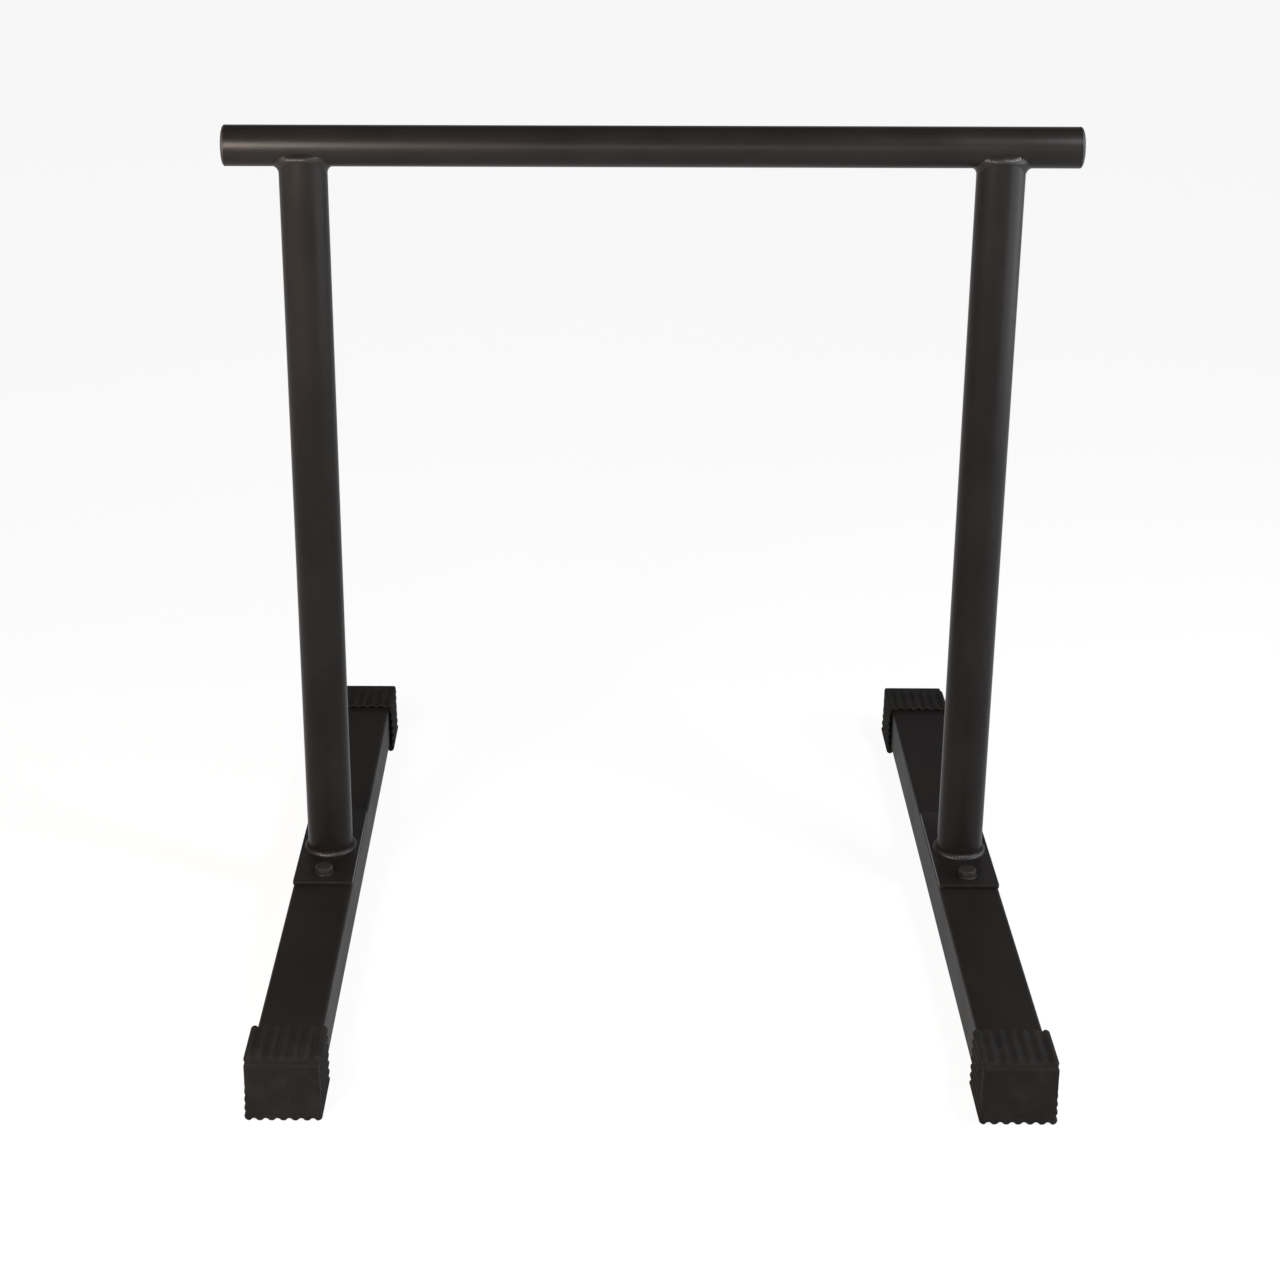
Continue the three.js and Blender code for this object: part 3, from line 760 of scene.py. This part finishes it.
for side, direction in sides.items():
    low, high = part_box(f"bar_end_plug_{side}")
    face = low.x if direction < 0 else high.x
    rings = lying(turned(*plug_profile(), round_sides), 0)
    rings = rings * (direction, direction, 1) + (face, 0, grip_axis)
    name = f"bar_end_plug_{side}_plastic"
    plug = make(name, rings, looped=False, sharp_degrees=plug_sharp_degrees)
    finish_as(plug, plug_plastic, "plug_plastic", f"bar_end_plug_{side}")

# Washers. A flat steel washer lies under each bolt head and spreads its load over the
# plate. It is stamped, and blackened like its bolt.
washer_edge = 0.0002
oxide_black = (0.0185, 0.0180, 0.0170, 1)
oxide_brown = (0.0260, 0.0235, 0.0205, 1)
oxide_metallic = 0.55
oxide_roughness = 0.34
oxide_mark_roughness = 0.18
oxide_cloud_scale = 260
oxide_mark_scale = 1900
oxide_mark_height = 0.00001


def black_oxide(name):
    """Blackened steel with an oily sheen: brownish clouds and fine tumbling marks."""
    oxide = Finish(bpy.data.materials.new(name))
    place = oxide.place()
    cloud = oxide.noise(place, oxide_cloud_scale, detail=3.0, roughness=0.6)
    marks = oxide.noise(place, oxide_mark_scale, detail=4.0, roughness=0.7)
    brown = oxide.ramp(cloud, low=0.4, high=0.75)
    return oxide.surface({
        "Base Color": oxide.blend(brown, oxide_black, oxide_brown),
        "Metallic": oxide_metallic,
        "Roughness": oxide_roughness + marks * oxide_mark_roughness,
        "Normal": oxide.dent(marks, oxide_mark_height),
    })


fastener_finish = black_oxide("fastener_black_oxide")

for side in sides:
    for end in ends:
        low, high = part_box(f"washer_{side}_{end}")
        hole, rim = bolt_hole_radius, (high.x - low.x) / 2
        radius = [hole, hole + washer_edge, rim - washer_edge, rim]
        height = [low.z + washer_edge, low.z, low.z, low.z + washer_edge]
        height += [high.z - washer_edge, high.z, high.z, high.z - washer_edge]
        rings = turned(radius + radius[::-1], height, hole_sides) + middle_of(low, high)
        washer = make(f"washer_{side}_{end}_steel", rings, looped=True)
        finish_as(washer, fastener_finish, "fastener_black", f"washer_{side}_{end}")

# Bolts. An M8 hexagon bolt goes down through each end of the base plate into its weld
# nut. The head's corners are turned off at thirty degrees, and the thread is rolled.
bolt_radius = 0.004
bolt_head_height = 0.0053
bolt_across_flats = 0.013
bolt_top_share = 0.95
bolt_edge_ease = 0.0002
bolt_cone_drop = 0.58  # the fall of the cone's rings, in shares of their step outwards
bolt_crown_drop = 0.12  # the same for the ring at the crown's eased edge
bolt_tip_chamfer = 0.001
thread_pitch = 0.00125
thread_depth = 0.0007
thread_flat_share = 0.1  # of half a pitch, level at the crest and again at the root
thread_rows_per_turn = 8
thread_run_out = 0.0025
bolt_sides = 72
bolt_sharp_degrees = 28


def hexagon(half_flats, count):
    """Points round a hexagon, at even angles, counterclockwise."""
    angle = np.arange(count) / count * 2 * np.pi
    radius = half_flats / np.cos(np.mod(angle, np.pi / 3) - np.pi / 6)
    return radius[:, None] * np.stack((np.cos(angle), np.sin(angle)), -1)


def threaded_rings(tip, seat):
    """Rings up the shank. Their radius falls by the thread's depth with the distance
    from the crest of a helix, and the thread fades out under the head."""
    rows = int((seat - tip) / thread_pitch * thread_rows_per_turn)
    level = np.linspace(tip, seat, rows + 1)[:, None]
    angle = np.arange(bolt_sides)[None, :] / bolt_sides * 2 * np.pi
    phase = np.mod(level / thread_pitch - angle / (2 * np.pi), 1)
    flank = (np.abs(2 * phase - 1) - thread_flat_share) / (1 - 2 * thread_flat_share)
    fade = smooth_step(seat - level, 0, thread_run_out)
    blunt = smooth_step(level, tip, tip + bolt_tip_chamfer)
    radius = bolt_radius - thread_depth * np.clip(flank, 0, 1) * fade
    radius = np.minimum(radius, bolt_radius - bolt_tip_chamfer * (1 - blunt))
    x, y = radius * np.cos(angle), radius * np.sin(angle)
    return np.stack((x, y, np.broadcast_to(level, x.shape)), -1)


def bolt_rings(tip, seat):
    """The bolt from its tip to the middle of its head. A cone cuts the head's top, so its
    upper rim lies lower the further it is from the crown."""
    half_flats = bolt_across_flats / 2
    top_radius = bolt_top_share * half_flats
    top = seat + bolt_head_height
    rim = hexagon(half_flats, bolt_sides)
    eased_seat = hexagon(half_flats - bolt_edge_ease, bolt_sides)
    head = ring_stack([eased_seat, rim], [seat, seat + bolt_edge_ease])
    cut = top - (np.linalg.norm(rim, axis=-1) - top_radius) * np.tan(np.pi / 6)
    lower_rim = np.concatenate((rim, (cut - bolt_edge_ease)[:, None]), -1)
    eased_rim = hexagon(half_flats - bolt_edge_ease / 2, bolt_sides)
    eased_cut = cut + bolt_edge_ease / 2 * bolt_cone_drop
    upper_rim = np.concatenate((eased_rim, eased_cut[:, None]), -1)
    crown = turned(
        [top_radius + bolt_edge_ease, top_radius, top_radius - bolt_edge_ease],
        [top - bolt_edge_ease * bolt_cone_drop, top - bolt_edge_ease * bolt_crown_drop, top],
        bolt_sides,
    )
    return np.concatenate((threaded_rings(tip, seat), head, [lower_rim, upper_rim], crown))


for side in sides:
    for end in ends:
        low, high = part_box(f"hex_bolt_{side}_{end}")
        rings = bolt_rings(low.z, high.z - bolt_head_height) + middle_of(low, high)
        name = f"hex_bolt_{side}_{end}_steel"
        bolt = make(name, rings, looped=False, sharp_degrees=bolt_sharp_degrees)
        finish_as(bolt, fastener_finish, "fastener_black", f"hex_bolt_{side}_{end}")

# Floor. A plain white studio floor that runs far back. It shows white to the camera and
# in reflections, and keeps the stand's soft shadow.
floor_reach = 14.0
floor_white = (0.82, 0.82, 0.82, 1)
floor_glow = (1, 1, 1, 1)
floor_glow_share = 0.92

floor_finish = Finish(bpy.data.materials.new("studio_floor"))
camera_ray = floor_finish.node("ShaderNodeLightPath", {}, {}, "Is Camera Ray")
ray_kinds = camera_ray.socket.node.outputs
glossy_ray = Reading(floor_finish, ray_kinds["Is Glossy Ray"])
clear_ray = Reading(floor_finish, ray_kinds["Is Transmission Ray"])
seen = camera_ray.combine("MAXIMUM", glossy_ray, clear_ray)
seen = camera_ray.combine("MAXIMUM", camera_ray, seen)
lit = floor_finish.node("ShaderNodeBsdfDiffuse", {}, {"Color": floor_white})
glow = floor_finish.node("ShaderNodeEmission", {}, {"Color": floor_glow, "Strength": 1.0})
lit_share = 1 - seen * floor_glow_share
mixed = floor_finish.node("ShaderNodeMixShader", {}, {0: lit_share, 1: glow, 2: lit})
floor_finish.node("ShaderNodeOutputMaterial", {}, {"Surface": mixed})

near, far = -floor_reach, floor_reach
floor_corners = [(near, near, 0), (far, near, 0), (far, far, 0), (near, far, 0)]
floor_mesh = bpy.data.meshes.new("studio_floor")
floor_mesh.from_pydata(floor_corners, [], [(0, 1, 2, 3)])
floor_mesh.materials.append(floor_finish.owner)
floor = bpy.data.objects.new("studio_floor", floor_mesh)
bpy.context.scene.collection.objects.link(floor)

# Studio light. The room is dark above a pale horizon. Small lamps near the grip bar's
# ends light the fronts, a panel on each side is mirrored in the tubes' sides, and wide
# dim panels in front and behind fill in.
lamp_warm = (1.0, 0.84, 0.74)
panel_cool = (0.95, 0.96, 1.0)
room_white = (1, 1, 1, 1)
horizon_height = 0.2  # the rise of a look per metre of it, above which the room is dark
room_darkness = 0.05

room = Finish(bpy.data.worlds.new("studio_room"))
bpy.context.scene.world = room.owner
look = room.node("ShaderNodeTexCoord", {}, {}, "Generated")
rise = room.node("ShaderNodeSeparateXYZ", {}, {"Vector": look}, "Z")
brightness = room.ramp(rise, low=0.0, high=horizon_height, start=1.0, end=room_darkness)
backdrop_sockets = {"Color": room_white, "Strength": brightness}
backdrop = room.node("ShaderNodeBackground", {}, backdrop_sockets)
room.node("ShaderNodeOutputWorld", {}, {"Surface": backdrop})


def softbox(name, place, aim, width, height, power, colour=(1, 1, 1)):
    """A rectangular soft lamp at one point, turned to face another."""
    light = bpy.data.lights.new(name, "AREA")
    light.shape = "RECTANGLE"
    light.size, light.size_y = width, height
    light.energy = power
    light.color = colour
    lamp = bpy.data.objects.new(name, light)
    away = np.asarray(place, float) - np.asarray(aim, float)
    backward = away / np.linalg.norm(away)
    right = np.cross((0, 0, 1), backward)
    right = right / np.linalg.norm(right)
    up = np.cross(backward, right)
    turn = np.column_stack((right, up, backward))
    lamp.matrix_world = Matrix.Translation(place) @ Matrix(turn.tolist()).to_4x4()
    lamp.visible_camera = False
    bpy.context.scene.collection.objects.link(lamp)


softbox(
    "lamp_left", place=(-0.64, -1.00, 0.88), aim=(-0.33, 0, 0.64),
    width=0.34, height=0.36, power=24, colour=lamp_warm,
)
softbox(
    "lamp_left_low", place=(-0.55, -0.60, 0.82), aim=(-0.33, 0, 0.66),
    width=0.18, height=0.18, power=5, colour=lamp_warm,
)
softbox(
    "lamp_right", place=(0.70, -0.45, 1.15), aim=(0.33, 0, 0.64),
    width=0.25, height=0.25, power=16,
)
softbox(
    "panel_right", place=(1.24, -0.26, 0.46), aim=(0.27, 0, 0.46),
    width=1.4, height=0.6, power=18, colour=panel_cool,
)
softbox(
    "panel_left", place=(-1.09, -0.57, 0.46), aim=(-0.27, 0, 0.46),
    width=1.1, height=0.5, power=4, colour=lamp_warm,
)
softbox("panel_front", place=(0, -3.0, 1.1), aim=(0, 0, 0.4), width=1.6, height=0.8, power=20)
softbox("panel_rear", place=(0, 3.0, 1.6), aim=(0, 0, 0.3), width=3.0, height=1.2, power=6)

# Camera. A long lens stands in front, a little left of the middle and a metre up, and
# looks down at the stand.
camera_place = (-0.03457, -1.78688, 1.02979)
camera_yaw, camera_pitch, camera_roll = -0.00729, 0.35029, 0.00134  # radians
camera_lens, sensor_width = 65.627, 36  # millimetres
camera_shift_x, camera_shift_y = 0.0390625, -0.1171875

camera_data = bpy.data.cameras.new("camera")
camera_data.sensor_width = sensor_width
camera_data.lens = camera_lens
camera_data.shift_x = camera_shift_x
camera_data.shift_y = camera_shift_y
camera = bpy.data.objects.new("camera", camera_data)
heading = Matrix.Rotation(-camera_yaw, 4, "Z")
tilt = Matrix.Rotation(np.pi / 2 - camera_pitch, 4, "X")
lean = Matrix.Rotation(camera_roll, 4, "Z")
camera.matrix_world = Matrix.Translation(camera_place) @ heading @ tilt @ lean
bpy.context.scene.collection.objects.link(camera)
bpy.context.scene.camera = camera
bpy.context.scene.view_settings.view_transform = "Standard"
